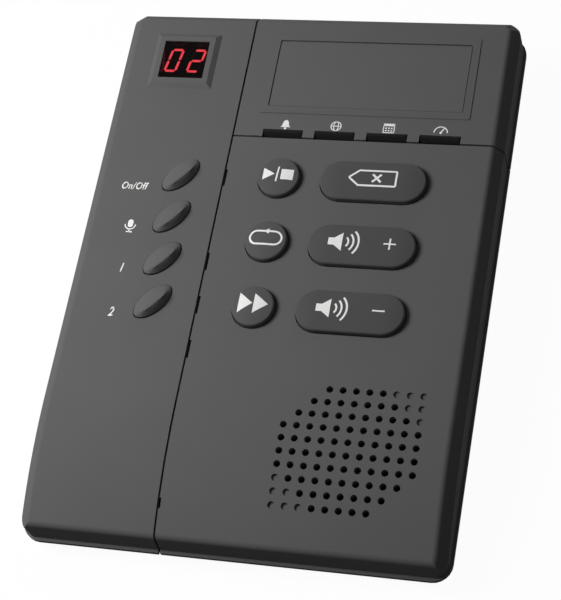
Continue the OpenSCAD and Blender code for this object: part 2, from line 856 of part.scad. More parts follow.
// Paper cone with a rolled surround, glued on the flange of the basket, and a dust cap
module speaker_cone() {
    b = basket_d / 2;
    top = -speaker_seat;
    t = 0.35;
    roll_r = 1.5;
    cap_r = speaker_d * 0.13;
    dip = basket_h * 0.85;
    roll = [b - roll_r - 0.3, top + 0.1];
    outer = [for (a = [180:-22.5:0]) roll + roll_r * [cos(a), sin(a)]];
    inner = [for (a = [0:22.5:180]) roll + (roll_r - t) * [cos(a), sin(a)]];
    color("#1b1b1b") at_speaker() rotate_extrude($fn = 64)
        polygon(concat([[0, top - dip * 0.7], [cap_r * 0.54, top - dip * 0.8],
                        [cap_r, top - dip]], outer,
                       [[b + 1.6, top + t], [b + 1.6, top], [roll[0] + roll_r - t, top]], inner,
                       [[roll[0] - roll_r - t, top - 0.3], [cap_r, top - dip - t],
                        [cap_r * 0.54, top - dip * 0.8 - t], [0, top - dip * 0.7 - t]]));
}

module speaker_screws() {
    color(steel) at_speaker() for (a = clamp_turns) {
        p = clamp_r * [cos(a), sin(a)];
        low = -speaker_seat - speaker_flange_t;
        post(p, board_shank_d, low - 0.5, -wall - 3.4);
        post(p, 9, low - 0.6, low);
        post(p, board_head_d, low - 0.6 - board_head_h, low - 0.6);
    }
}

// Microphone

module microphone() {
    color("#8d8f93") tilted() post([mic_x, mic_y], mic_d, -mic_top - mic_h, -mic_top);
}

module microphone_boot() {
    color("#161616") tilted() difference() {
        post([mic_x, mic_y], mic_d + 2 * mic_wall, -mic_top - mic_h - mic_wall, -mic_top + 1);
        post([mic_x, mic_y], mic_d, -mic_top - mic_h, -mic_top + 2);
    }
}

// Rear sockets

// A modular socket whose mouth faces the rear, with the narrow slot for the plug's latch
module modular_jack(x) {
    mouth = parts_z + (jack_h - socket_h) / 2;
    difference() {
        jack_block(x, jack_w, jack_h, jack_l, 0);
        block([x - socket_w / 2, rear_wall_y - socket_depth, mouth],
              [x + socket_w / 2, rear_wall_y + 1, mouth + socket_h]);
        block([x - 3, rear_wall_y - socket_depth, mouth - 0.5],
              [x + 3, rear_wall_y + 1, mouth + 0.1]);
    }
}

module line_jack() {
    color("#2a2a2c") modular_jack(line_x);
}

module phone_jack() {
    color("#2a2a2c") modular_jack(phone_x);
}

module power_jack() {
    color("#1d1d1f") {
        difference() {
            jack_block(power_x, power_w, power_w, jack_l, 0);
            power_axis() cylinder(d = power_bore_d, h = 10);
        }
        power_axis() translate([0, 0, 1.8]) cylinder(d = power_pin_d, h = 9);
    }
}

module power_axis() {
    translate([power_x, rear_wall_y + 1, parts_z + power_w / 2]) rotate([90, 0, 0]) children();
}

// Screws

module case_screws() {
    color(steel) tilted() at_each(concat(left_boss, main_boss, panel_boss)) case_screw();
}

module case_screw() {
    post([0, 0], case_shank_d, case_head_w, -bevel_drop - wall - 2);
    post([0, 0], case_head_d, case_head_w - case_head_h, case_head_w);
}

module board_screws() {
    low = -board_depth - board_t;
    color(steel) {
        tilted() at_each(concat(side_posts, front_posts)) {
            post([0, 0], board_shank_d, low - 0.5, -wall - 1.5);
            post([0, 0], board_head_d, low - board_head_h, low);
        }
        at_each(main_posts) {
            post([0, 0], board_shank_d, floor_z - 0.4, parts_z + 0.5);
            post([0, 0], board_head_d, parts_z, parts_z + board_head_h);
        }
    }
}

// Buttons. Each has a cap that stands out of the cover, a flange that keeps it in, a stem,
// and a pin that works in the well of its switch.

module stem() {
    low = -wall - run_gap - flange_h;
    post([0, 0], stem_d, -(board_depth - switch_h) + travel + run_gap, low + 0.5);
    post([0, 0], pin_d, pin_tip_w, low + 0.5);
}

module round_button(i) {
    r = round_d / 2;
    top = button_rise;
    under = -wall - run_gap;
    crown_r = (pow(r - button_edge_r, 2) + pow(button_crown, 2)) / (2 * button_crown);
    crown = [for (k = [0:5]) let (x = (r - button_edge_r) * k / 5)
        [x, top - (crown_r - sqrt(pow(crown_r, 2) - pow(x, 2)))]];
    edge = [for (k = [1:arc_steps]) let (a = 90 - 90 * k / arc_steps)
        [r - button_edge_r + button_edge_r * cos(a),
         top - button_crown - button_edge_r + button_edge_r * sin(a)]];
    color(dark_plastic) tilted() translate([round_x, row_y[i], 0]) {
        rotate_extrude($fn = 64)
            polygon(concat(crown, edge, [[r, under], [r + flange_out, under],
                    [r + flange_out, under - flange_h], [0, under - flange_h]]));
        stem();
    }
}

// The section of a lozenge button from its middle outwards
function lozenge_section() =
    let (r = lozenge_w / 2, top = button_rise, under = -wall - run_gap,
         flat = r - button_edge_r, crown_r = (flat * flat + pow(button_crown, 2)) / (2 * button_crown))
    concat([for (k = [0:5]) let (x = flat * k / 5)
               [x, top - (crown_r - sqrt(pow(crown_r, 2) - pow(x, 2)))]],
           [for (k = [1:arc_steps]) let (a = 90 - 90 * k / arc_steps)
               [flat + button_edge_r * cos(a), top - button_crown - button_edge_r * (1 - sin(a))]],
           [[r, under], [r + flange_out, under], [r + flange_out, under - flange_h],
            [0, under - flange_h]]);

module lozenge_button(i) {
    x = (lozenge_l - lozenge_w) / 2;
    half = lozenge_section();
    n = len(half);
    whole = concat(half, [for (k = [n - 2:-1:1]) [-half[k][0], half[k][1]]]);
    color(dark_plastic) tilted() translate([lozenge_x, row_y[i], 0]) {
        rotate([90, 0, 90]) translate([0, 0, -x]) linear_extrude(2 * x) polygon(whole);
        translate([x, 0, 0]) rotate(-90) rotate_extrude(angle = 180, $fn = 64) polygon(half);
        translate([-x, 0, 0]) rotate(90) rotate_extrude(angle = 180, $fn = 64) polygon(half);
        stem();
        for (g = guide_x)
            post([g, 0], pin_d, -board_depth - 0.6, -wall - run_gap - flange_h + 0.5);
    }
}

// The cap of a leaf button: rings that rise from the oval to a ridge beside its long axis, with a
// gentle slope on one side and a steep one on the other
module leaf_cap() {
    n = 32;
    rings = 7;
    ridge_y = -0.28 * leaf_w;
    points = concat(
        [for (k = [0:rings - 1], p = leaf_outline(0, n))
            let (s = max(0, k - 1) / (rings - 2), x = p[0] * (1 - 0.5 * s),
                 rise = (1 - pow(1 - s, 1.4)) * (1 - 0.3 * pow(2 * x / leaf_l, 2)))
            [x, p[1] * (1 - 0.94 * s) + ridge_y * s,
             k == 0 ? 0 : 0.5 + (leaf_rise - 0.5) * rise]],
        [[0, ridge_y, leaf_rise], [0, 0, 0]]);
    peak = n * rings;
    sides = [for (k = [0:rings - 2], i = [0:n - 1])
        let (a = k * n + i, b = k * n + (i + 1) % n)
        each [[a, a + n, b], [b, a + n, b + n]]];
    caps = [for (i = [0:n - 1]) let (j = (i + 1) % n)
        each [[peak - n + i, peak, peak - n + j], [i, j, peak + 1]]];
    polyhedron(points, concat(sides, caps));
}

module leaf_button(i) {
    under = -wall - run_gap;
    color(dark_plastic) tilted() translate([leaf_x, leaf_y[i], 0]) {
        rotate(leaf_turn) {
            leaf_cap();
            slab(leaf_outline(0, 32), under - 0.2, 0.01);
            slab(leaf_outline(flange_out, 32), under - flange_h, under);
        }
        stem();
    }
}

// A small key: a bar with a rounded nose, a flange under the cover and an arm to its stem
module small_key(i) {
    front = cross_seam_y - seam_gap / 2 + run_gap + 0.45;
    rear = cross_seam_y + seam_gap / 2 + key_notch - button_gap;
    under = -wall - run_gap;
    nose = 1.4;
    color(dark_plastic) tilted() translate([key_x[i], 0, 0]) {
        rotate([90, 0, 90]) translate([0, 0, -key_w / 2]) linear_extrude(key_w)
            polygon(round_path([[front, under - 0.2], [rear, under - 0.2], [rear, 0.35],
                                [front + nose, 0.35], [front, -1.1]],
                               [0, 0, 0.25, 0.5, 0.3]));
        block([-key_w / 2 - flange_out, front - 1, under - flange_h],
              [key_w / 2 + flange_out, key_stem_y + stem_d / 2, under]);
        translate([0, key_stem_y, 0]) stem();
    }
}

// Drawing

bottom_case();
left_cover();
main_cover();
upper_panel();
panel_plate();
display_lens();
led_display();
display_board();
key_board();
main_board();
key_switches();
board_chips();
board_capacitors();
board_link();
speaker_basket();
speaker_magnet();
speaker_cone();
speaker_gasket();
microphone();
microphone_boot();
line_jack();
phone_jack();
power_jack();
rubber_feet();
case_screws();
board_screws();
speaker_screws();
leaf_button(0);  // power_button
leaf_button(1);  // memo_button
leaf_button(2);  // greeting_one_button
leaf_button(3);  // greeting_two_button
round_button(0);  // play_stop_button
round_button(1);  // repeat_button
round_button(2);  // skip_button
lozenge_button(0);  // delete_button
lozenge_button(1);  // volume_up_button
lozenge_button(2);  // volume_down_button
small_key(0);  // ringer_key
small_key(1);  // language_key
small_key(2);  // day_key
small_key(3);  // speed_key
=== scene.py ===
# %% [markdown]
# # A desk answering machine in charcoal plastic
#
# The real object is a flat wedge of moulded ABS: three covers over a tray, fourteen
# buttons, a two-figure display and a loudspeaker behind drilled holes. Its shapes are all
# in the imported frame, so this lesson is mostly about finish: plastic grain, printed
# signs, a lit display under smoked acrylic, and soft light that shows the mouldings.
#
# The frame could be copied and remodelled here, but its solids already fit and move, so
# they stay as they are. New pieces are only added where the real one has ink, light or
# metal that is too thin to be a solid.

# %% Load the frame
import math

import bpy
import numpy as np
from mathutils import Matrix, Vector


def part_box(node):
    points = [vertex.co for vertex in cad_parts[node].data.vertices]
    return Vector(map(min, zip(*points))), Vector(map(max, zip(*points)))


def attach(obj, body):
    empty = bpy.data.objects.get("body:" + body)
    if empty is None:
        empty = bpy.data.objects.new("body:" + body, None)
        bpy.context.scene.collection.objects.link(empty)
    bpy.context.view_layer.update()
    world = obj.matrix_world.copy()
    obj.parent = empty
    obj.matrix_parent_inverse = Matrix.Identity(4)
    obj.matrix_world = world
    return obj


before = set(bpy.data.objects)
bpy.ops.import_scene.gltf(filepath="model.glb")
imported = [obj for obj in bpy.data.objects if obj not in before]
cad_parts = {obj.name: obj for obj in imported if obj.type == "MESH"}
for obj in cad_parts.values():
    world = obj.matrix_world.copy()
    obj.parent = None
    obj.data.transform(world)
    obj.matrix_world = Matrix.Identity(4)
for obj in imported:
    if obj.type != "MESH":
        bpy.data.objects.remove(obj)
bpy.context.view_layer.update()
MM = 0.001

# %% [markdown]
# ## The face's own frame
#
# The face of the machine leans back by four degrees. Signs and figures are drawn flat, in
# millimetres, with x across, y towards the rear and w out of the face, and are then
# leaned back by one function. They could be drawn upright and turned as objects, but a
# finished piece has its place in its mesh, so the points themselves are turned.

# %% From the face to the ground and back
LEAN = math.radians(4)
FACE_MIDDLE = np.array((0.0, -0.95566, 25.52497))  # mm, where the flat face's middle is


def mesh_points(mesh):
    """The vertices of a mesh, as an array of (x, y, z) rows in the mesh's own unit."""
    flat = np.empty(len(mesh.vertices) * 3, np.float32)
    mesh.vertices.foreach_get("co", flat)
    return flat.reshape(-1, 3).astype(float)


def to_ground(points):
    """Face frame in mm to ground frame in m: y' = y cos - w sin, z' = y sin + w cos, then the
    place of the face's middle is added."""
    x, y, w = np.moveaxis(np.asarray(points, float), -1, 0)
    leaned = np.stack((x, y * math.cos(LEAN) - w * math.sin(LEAN),
                       y * math.sin(LEAN) + w * math.cos(LEAN)), axis=-1)
    return (leaned + FACE_MIDDLE) * MM


def face_box(node):
    """Lowest and highest corner of a CAD node in the face frame, in mm: the inverse of
    to_ground, taken over all its vertices."""
    x, y, z = (mesh_points(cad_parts[node].data) / MM - FACE_MIDDLE).T
    points = np.stack((x, y * math.cos(LEAN) + z * math.sin(LEAN),
                       z * math.cos(LEAN) - y * math.sin(LEAN)))
    return points.min(axis=1), points.max(axis=1)


def face_place(node):
    """Middle of a node across and along the face, and the height of its top, in mm."""
    low, high = face_box(node)
    return np.array(((low[0] + high[0]) / 2, (low[1] + high[1]) / 2, high[2]))


ROUND = ("play_stop_button", "repeat_button", "skip_button")
LOZENGE = ("delete_button", "volume_up_button", "volume_down_button")
LEAF = ("power_button", "memo_button", "greeting_one_button", "greeting_two_button")
KEYS = ("ringer_key", "language_key", "day_key", "speed_key")
for name in ROUND + LOZENGE + LEAF + KEYS:
    print(name, face_place(name).round(1))

# %% [markdown]
# ## Camera
#
# The photograph was taken from the front right, high up, with the camera rolled so that
# the machine leans to the left in the picture. The axes below come from fitting a camera
# to the corners, buttons and holes that can be seen in it.

# %% Camera at the photograph's angle
CAMERA_PLACE = Vector((0.15942, -0.28342, 0.50670))
CAMERA_RIGHT = Vector((0.96081, 0.18825, -0.20349))
CAMERA_UP = Vector((-0.06246, 0.86220, 0.50271))
camera_data = bpy.data.cameras.new("camera")
camera_data.sensor_width = 36.0
camera_data.lens = 114.56
camera_data.clip_start, camera_data.clip_end = 0.01, 50.0
camera = bpy.data.objects.new("camera", camera_data)
camera.matrix_world = Matrix.Translation(CAMERA_PLACE) @ Matrix(
    (CAMERA_RIGHT, CAMERA_UP, CAMERA_RIGHT.cross(CAMERA_UP))).transposed().to_4x4()
bpy.context.scene.collection.objects.link(camera)
bpy.context.scene.camera = camera
print("camera distance in mm:", round(CAMERA_PLACE.length / MM))

# %% [markdown]
# ## Colours and nodes
#
# Two helpers carry all the finishes. Colours are written as they look on a screen, in
# sRGB hex, and one function turns them into the linear values that the shader works in.
# One function adds a node, sets its values and links its inputs.

# %% Colour and node helpers


def linear(hex_colour):
    """sRGB hex to linear RGBA: c / 12.92 for dark values, else ((c + 0.055) / 1.055) ^ 2.4."""
    c = np.array([int(hex_colour[i:i + 2], 16) / 255 for i in (1, 3, 5)])
    c = np.where(c <= 0.04045, c / 12.92, ((c + 0.055) / 1.055) ** 2.4)
    return (*c, 1.0)


def add_node(material, kind, values=None, links=None, **settings):
    """Adds a shader node. values sets its inputs, links feeds its inputs from (node, output)
    pairs, and the other words set its own properties."""
    tree = material.node_tree
    node = tree.nodes.new(kind)
    for word, value in settings.items():
        setattr(node, word, value)
    for socket, value in (values or {}).items():
        node.inputs[socket].default_value = value
    for socket, (source, output) in (links or {}).items():
        tree.links.new(source.outputs[output], node.inputs[socket])
    return node


def new_material(name):
    """An empty node material."""
    material = bpy.data.materials.new(name)
    material.use_nodes = True
    material.node_tree.nodes.clear()
    return material


def finish_shader(material, values, links):
    """Ends a material with one Principled surface."""
    surface = add_node(material, "ShaderNodeBsdfPrincipled", values, links)
    add_node(material, "ShaderNodeOutputMaterial", links={"Surface": (surface, "BSDF")})
    return material


print("mid charcoal in linear light:", [round(v, 3) for v in linear("#4a4a4d")[:3]])

# %% [markdown]
# ## Moulded plastic
#
# Housings like this are ABS, injected against a steel tool whose surface was roughened
# by spark erosion. The skin is a field of tiny pits, about a third of a millimetre
# apart, that spreads reflections without hiding them. Three things give that to the
# eye: a broad soft gloss, a fine bump, and faint uneven patches where the melt cooled
# at different rates. The pattern reads Object coordinates, which are metres here, so a
# noise scale of 1 / size gives spots of that size. Outer pieces keep very little
# specular, or the white background would brighten every wall that is seen at a slant.

# %% A moulded plastic with its grain in millimetres
PATCH_MM = 28  # how wide a patch is where the melt cooled evenly


def moulded_plastic(name, colour, patch_colour, roughness, grain_mm, grain_depth_mm, specular=0.35):
    """Plastic from a roughened tool: a fine bump of the grain's size, whose spots also change
    the gloss a little, and wide patches that change the colour a little."""
    material = new_material(name)
    place = add_node(material, "ShaderNodeTexCoord")
    grain = add_node(material, "ShaderNodeTexNoise",
                     {"Scale": 1 / (grain_mm * MM), "Detail": 3.0, "Roughness": 0.55},
                     {"Vector": (place, "Object")})
    patches = add_node(material, "ShaderNodeTexNoise",
                       {"Scale": 1 / (PATCH_MM * MM), "Detail": 3.0, "Roughness": 0.6},
                       {"Vector": (place, "Object")})
    tint = add_node(material, "ShaderNodeMix", {"A": linear(colour), "B": linear(patch_colour)},
                    {"Factor": (patches, "Fac")}, data_type="RGBA")
    gloss = add_node(material, "ShaderNodeMapRange",
                     {"From Min": 0.3, "From Max": 0.7, "To Min": roughness - 0.03,
                      "To Max": roughness + 0.04}, {"Value": (grain, "Fac")})
    bump = add_node(material, "ShaderNodeBump",
                    {"Strength": 0.35, "Distance": grain_depth_mm * MM},
                    {"Height": (grain, "Fac")})
    return finish_shader(material, {"IOR": 1.53, "Specular IOR Level": specular},
                         {"Base Color": (tint, "Result"), "Roughness": (gloss, "Result"),
                          "Normal": (bump, "Normal")})


FINISH = {
    # Covers: charcoal ABS with a fine spark-eroded grain, lighter than the round buttons
    "cover_plastic": moulded_plastic("abs_spark_eroded_charcoal", "#5c5c5c", "#616161",
                                     0.6, 0.35, 0.02, 0.005),
    # Tray: the same ABS from a coarser tool, darker than the covers
    "tray_plastic": moulded_plastic("abs_coarse_grain_black", "#3a3a3b", "#3f3f40",
                                    0.6, 0.7, 0.05, 0.02),
    # Round buttons: ABS from a finer tool, so their gloss is tighter
    "button_plastic": moulded_plastic("abs_fine_grain_round_caps", "#515152", "#565657",
                                      0.45, 0.25, 0.01, 0.03),
    # Switch housings: glass-filled nylon, dull and smooth
    "switch_plastic": moulded_plastic("nylon_glass_filled", "#2b2b2d", "#333336", 0.5, 0.3, 0.01),
    # Sockets: PBT, slightly waxy
    "socket_plastic": moulded_plastic("pbt_moulded_black", "#1d1d1f", "#232325", 0.38, 0.5, 0.01),
    # Pin header: natural nylon
    "header_plastic": moulded_plastic("nylon_natural", "#d4d3cb", "#cbc9bf", 0.45, 0.4, 0.01, 0.5),
    # Display body: black epoxy-filled polycarbonate
    "display_plastic": moulded_plastic("polycarbonate_black_filled", "#121213", "#161617",
                                       0.3, 0.4, 0.005),
    # Chips: transfer-moulded epoxy with a matt face
    "chip_plastic": moulded_plastic("epoxy_transfer_moulded", "#1d1d1f", "#252527", 0.6, 0.2, 0.01),
}
# Batches of the same button plastic: the long caps a shade darker than the round ones, the
# leaf caps as light as the covers, and the small keys nearly black, a painted shade for the
# shadow over their fronts in the notches at the seam
BUTTON_GRAIN = (0.45, 0.25, 0.01)  # roughness, and the grain's size and depth in mm
LONG_CAP = moulded_plastic("abs_fine_grain_long_caps", "#4c4c4d", "#515152", *BUTTON_GRAIN, 0.03)
LEAF_CAP = moulded_plastic("abs_fine_grain_leaf_caps", "#5c5c5d", "#616162", *BUTTON_GRAIN, 0.01)
SMALL_KEY_PAINTED_SHADE = moulded_plastic("abs_fine_grain_small_keys_painted_shade", "#141415", "#181819", *BUTTON_GRAIN, 0.05)
print("moulded plastics:", len(FINISH), "and three more batches of the buttons' own")

# %% [markdown]
# ## Rubber, foam, paper and ferrite
#
# These hidden materials are dull, and what tells them apart is the size of their
# texture: rubber is smooth with a bloom, foam has open cells near half a millimetre,
# pressed paper has short fibres, and ferrite is a ground ceramic with small chips. One
# function makes them all from a cell size, a depth and two colours.

# %% Dull materials from a cell size
BLOOM_MM = 9  # how wide a spot of bloom or dust is


def dull_material(name, colour, bloom_and_painted_rim_colour, roughness, cell_mm, depth_mm):
    """A dull surface: rounded cells of the given size, sunk in the middle by the given depth.
    Within spots of bloom their rims are painted lighter than their sunk middles, a painted
    shade in the hollows."""
    material = new_material(name)
    place = add_node(material, "ShaderNodeTexCoord")
    cells = add_node(material, "ShaderNodeTexVoronoi", {"Scale": 1 / (cell_mm * MM)},
                     {"Vector": (place, "Object")}, feature="SMOOTH_F1")
    bloom = add_node(material, "ShaderNodeTexNoise", {"Scale": 1 / (BLOOM_MM * MM), "Detail": 4.0},
                     {"Vector": (place, "Object")})
    # Painted shade: the cells' sunk middles stay dark, their rims lighter within the bloom spots
    share = add_node(material, "ShaderNodeMath",
                     links={0: (cells, "Distance"), 1: (bloom, "Fac")}, operation="MULTIPLY")
    tint = add_node(material, "ShaderNodeMix", {"A": linear(colour), "B": linear(bloom_and_painted_rim_colour)},
                    {"Factor": (share, "Value")}, data_type="RGBA")
    bump = add_node(material, "ShaderNodeBump", {"Strength": 0.6, "Distance": depth_mm * MM},
                    {"Height": (cells, "Distance")})
    return finish_shader(material, {"Roughness": roughness, "Specular IOR Level": 0.3},
                         {"Base Color": (tint, "Result"), "Normal": (bump, "Normal")})


FINISH.update({
    # Feet: polyurethane rubber, cast, with a fine matt skin
    "foot_rubber": dull_material("polyurethane_rubber_cast", "#1b1b1c", "#323234", 0.75, 0.6, 0.03),
    # Boot of the microphone: silicone rubber, smoother
    "boot_rubber": dull_material("silicone_rubber_moulded", "#161617", "#28282a", 0.6, 0.4, 0.01),
    # Gasket: open-cell polyurethane foam, cut from sheet
    "gasket_foam": dull_material("polyurethane_foam_open_cell", "#0e0e0f", "#2c2c2e",
                                 0.95, 0.5, 0.2),
    # Cone: pressed paper pulp, dyed black
    "cone_paper": dull_material("paper_pulp_pressed", "#141413", "#2e2d2a", 0.9, 0.3, 0.04),
    # Magnet: sintered ferrite with ground faces
    "magnet_ferrite": dull_material("ferrite_sintered_ground", "#38383a", "#4c4c4f",
                                    0.55, 0.8, 0.02),
})
print(len(FINISH), "finishes so far")

# %% [markdown]
# ## Metals
#
# The basket and screws are steel with a thin bright zinc plating, and the microphone
# can is drawn aluminium. Plated steel shows a fine grain of crystals and a few dull
# spots, drawn aluminium shows fine lines along the draw. A metal keeps the default IOR,
# and only its colour, roughness and bump change.

# %% Metals with a grain


def metal(name, colour, roughness, grain_mm, stretch=(1, 1, 1)):
    """A metal whose roughness and bump follow a noise of the given grain, drawn out along an
    axis where stretch is small."""
    material = new_material(name)
    place = add_node(material, "ShaderNodeTexCoord")
    along = add_node(material, "ShaderNodeMapping", {"Scale": stretch},
                     {"Vector": (place, "Object")})
    grain = add_node(material, "ShaderNodeTexNoise",
                     {"Scale": 1 / (grain_mm * MM), "Detail": 4.0, "Roughness": 0.6},
                     {"Vector": (along, "Vector")})
    gloss = add_node(material, "ShaderNodeMapRange",
                     {"To Min": roughness - 0.08, "To Max": roughness + 0.12},
                     {"Value": (grain, "Fac")})
    bump = add_node(material, "ShaderNodeBump", {"Strength": 0.25, "Distance": 0.01 * MM},
                    {"Height": (grain, "Fac")})
    return finish_shader(material, {"Base Color": linear(colour), "Metallic": 1.0},
                         {"Roughness": (gloss, "Result"), "Normal": (bump, "Normal")})


FINISH.update({
    # Basket: sheet steel, pressed, then zinc plated
    "pressed_steel": metal("steel_pressed_zinc_plated", "#c4c6c9", 0.32, 0.9),
    # Screws: rolled steel, zinc plated, with a tighter grain
    "screw_steel": metal("steel_screw_zinc_plated", "#b9bbbf", 0.28, 0.4),
    # Microphone can: aluminium, drawn along its height
    "microphone_can": metal("aluminium_drawn", "#cfd0d2", 0.3, 0.25, (1, 1, 0.1)),
})
print(len(FINISH), "finishes so far")

# %% [markdown]
# ## Circuit board, capacitor sleeve and plate film
#
# The boards are glass-fibre laminate under a green solder mask: copper tracks show as
# lighter, slightly raised paths. A Brick texture with wide, thin bricks gives parallel
# tracks at a pitch of about one millimetre. The capacitors wear a shrunk PVC sleeve
# with a pale stripe on one side. The inlaid plate of the upper panel is a printed
# polycarbonate film, dead flat and about as dark as the cover, with a velvet grain.

# %% Board, sleeve and film
BAND = 0.314  # m from crest to crest of a wave texture whose scale is 1


def solder_mask():
    """Green mask over tracks: bricks 9 mm long and 0.9 mm apart, their mortar is bare board."""
    material = new_material("fr4_solder_mask_green")
    place = add_node(material, "ShaderNodeTexCoord")
    tracks = add_node(material, "ShaderNodeTexBrick",
                      {"Color1": linear("#2c6a43"), "Color2": linear("#337349"),
                       "Mortar": linear("#1f4d31"), "Scale": 1.0, "Mortar Size": 0.25 * MM,
                       "Brick Width": 9 * MM, "Row Height": 0.9 * MM, "Mortar Smooth": 0.3},
                      {"Vector": (place, "Object")})
    bump = add_node(material, "ShaderNodeBump", {"Strength": 0.4, "Distance": 0.03 * MM},
                    {"Height": (tracks, "Fac")}, invert=True)
    return finish_shader(material, {"Roughness": 0.32, "Specular IOR Level": 0.5},
                         {"Base Color": (tracks, "Color"), "Normal": (bump, "Normal")})


def shrunk_sleeve():
    """Dark blue PVC with pale stripes: a wave along x whose narrow crests are 8 mm apart."""
    material = new_material("pvc_sleeve_shrunk")
    place = add_node(material, "ShaderNodeTexCoord")
    wave = add_node(material, "ShaderNodeTexWave", {"Scale": BAND / (8 * MM), "Distortion": 0.0},
                    {"Vector": (place, "Object")}, bands_direction="X")
    stripe = add_node(material, "ShaderNodeMapRange",
                      {"From Min": 0.9, "From Max": 0.93}, {"Value": (wave, "Fac")})
    tint = add_node(material, "ShaderNodeMix", {"A": linear("#222b4d"), "B": linear("#aab0c4")},
                    {"Factor": (stripe, "Result")}, data_type="RGBA")
    return finish_shader(material, {"Roughness": 0.2, "Specular IOR Level": 0.5},
                         {"Base Color": (tint, "Result")})


FINISH["circuit_board"] = solder_mask()
FINISH["capacitor_sleeve"] = shrunk_sleeve()
# Plate: polycarbonate film, screen printed from behind, velvet side out
FINISH["plate_plastic"] = moulded_plastic("polycarbonate_film_velvet", "#5c5c5c", "#606060",
                                          0.45, 0.22, 0.004, 0.04)
print(len(FINISH), "finishes so far")

# %% [markdown]
# ## The smoked lens
#
# The display's window is acrylic, dyed so dark that only the figures' own light gets out.
# It could be a glass with a dyed volume, but at this thickness its bent light only
# doubles the figures at the edges, so it is a dark, polished surface that lets a set
# share of the light straight through.

# %% Smoked acrylic


def smoked_acrylic():
    """Dark and half clear, with faint smears in its polish."""
    material = new_material("acrylic_smoked_polished")
    place = add_node(material, "ShaderNodeTexCoord")
    smears = add_node(material, "ShaderNodeTexNoise", {"Scale": 1 / (5 * MM), "Detail": 2.0},
                      {"Vector": (place, "Object")})
    polish = add_node(material, "ShaderNodeMapRange", {"To Min": 0.04, "To Max": 0.09},
                      {"Value": (smears, "Fac")})
    tint = add_node(material, "ShaderNodeMix", {"A": linear("#060303"), "B": linear("#0a0505")},
                    {"Factor": (smears, "Fac")}, data_type="RGBA")
    return finish_shader(material, {"IOR": 1.49, "Alpha": 0.86, "Specular IOR Level": 0.04},
                         {"Base Color": (tint, "Result"), "Roughness": (polish, "Result")})


FINISH["lens_plastic"] = smoked_acrylic()
print("lens:", FINISH["lens_plastic"].name)

# %% [markdown]
# ## Dressing the frame's solids
#
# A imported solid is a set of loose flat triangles. Welded, with its shallow edges
# smoothed and its normals weighted by area, the turned and rounded faces look round
# and the flat ones stay flat. The mesh itself isn't touched: three modifiers do it, and
# the middle one is a small node group that marks every edge steeper than twenty degrees
# as sharp, so that the slopes round the display stay crisp.

# %% Modifiers for round and flat faces
SHARP = math.radians(20)


def smoothing_group():
    """Geometry nodes: shade smooth, but keep an edge sharp where its faces turn by more than
    SHARP."""
    group = bpy.data.node_groups.new("smooth_by_edge_angle", "GeometryNodeTree")
    group.interface.new_socket("Geometry", in_out="INPUT", socket_type="NodeSocketGeometry")
    group.interface.new_socket("Geometry", in_out="OUTPUT", socket_type="NodeSocketGeometry")
    nodes, links = group.nodes, group.links
    start, end = nodes.new("NodeGroupInput"), nodes.new("NodeGroupOutput")
    angle = nodes.new("GeometryNodeInputMeshEdgeAngle")
    gentle = nodes.new("FunctionNodeCompare")
    gentle.data_type, gentle.operation = "FLOAT", "LESS_EQUAL"
    gentle.inputs["B"].default_value = SHARP
    faces = nodes.new("GeometryNodeSetShadeSmooth")
    faces.domain = "FACE"
    edges = nodes.new("GeometryNodeSetShadeSmooth")
    edges.domain = "EDGE"
    links.new(start.outputs[0], faces.inputs["Geometry"])
    links.new(faces.outputs[0], edges.inputs["Geometry"])
    links.new(angle.outputs["Unsigned Angle"], gentle.inputs["A"])
    links.new(gentle.outputs["Result"], edges.inputs["Shade Smooth"])
    links.new(edges.outputs[0], end.inputs[0])
    return group


SMOOTHING = smoothing_group()


def smooth_solid(piece):
    """Welds, smooths gentle edges and weights the normals by area."""
    piece.modifiers.new("weld", "WELD").merge_threshold = 0.002 * MM
    piece.modifiers.new("smooth", "NODES").node_group = SMOOTHING
    weighted = piece.modifiers.new("weighted", "WEIGHTED_NORMAL")
    weighted.weight, weighted.keep_sharp = 80, True


# %% Each node gets its slot's finish
NODE_SLOT = {
    "bottom_case": "tray_plastic", "left_cover": "cover_plastic", "main_cover": "cover_plastic",
    "upper_panel": "cover_plastic", "panel_plate": "plate_plastic", "display_lens": "lens_plastic",
    "led_display": "display_plastic", "display_board": "circuit_board",
    "key_board": "circuit_board", "main_board": "circuit_board",
    "key_switches": "switch_plastic", "board_chips": "chip_plastic",
    "board_capacitors": "capacitor_sleeve", "board_link": "header_plastic",
    "speaker_basket": "pressed_steel", "speaker_magnet": "magnet_ferrite",
    "speaker_cone": "cone_paper", "speaker_gasket": "gasket_foam", "microphone": "microphone_can",
    "microphone_boot": "boot_rubber", "line_jack": "socket_plastic", "phone_jack": "socket_plastic",
    "power_jack": "socket_plastic", "rubber_feet": "foot_rubber", "case_screws": "screw_steel",
    "board_screws": "screw_steel", "speaker_screws": "screw_steel",
}
NODE_SLOT.update({name: "button_plastic" for name in ROUND + LOZENGE + LEAF + KEYS})
BATCH = {**dict.fromkeys(LOZENGE, LONG_CAP), **dict.fromkeys(LEAF, LEAF_CAP),
         **dict.fromkeys(KEYS, SMALL_KEY_PAINTED_SHADE)}
for name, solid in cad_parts.items():
    solid.data.materials.clear()
    solid.data.materials.append(BATCH.get(name, FINISH[NODE_SLOT[name]]))
    smooth_solid(solid)
print("dressed nodes:", len(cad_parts), "of", len(NODE_SLOT))

# %% [markdown]
# ## Printed signs
#
# The signs on a face like this are pad printed: a film of white ink about a hundredth
# of a millimetre thick, drawn here at four hundredths so that it clears the plastic.
# Each sign is a few ruled surfaces, a straight line carried from one edge curve to
# another: a stroke runs between its two sides, a triangle between an edge and a point.
# Text objects could print words, but these signs are the plain ones that any maker
# uses, so they are drawn.

# %% Ruled surfaces and strokes


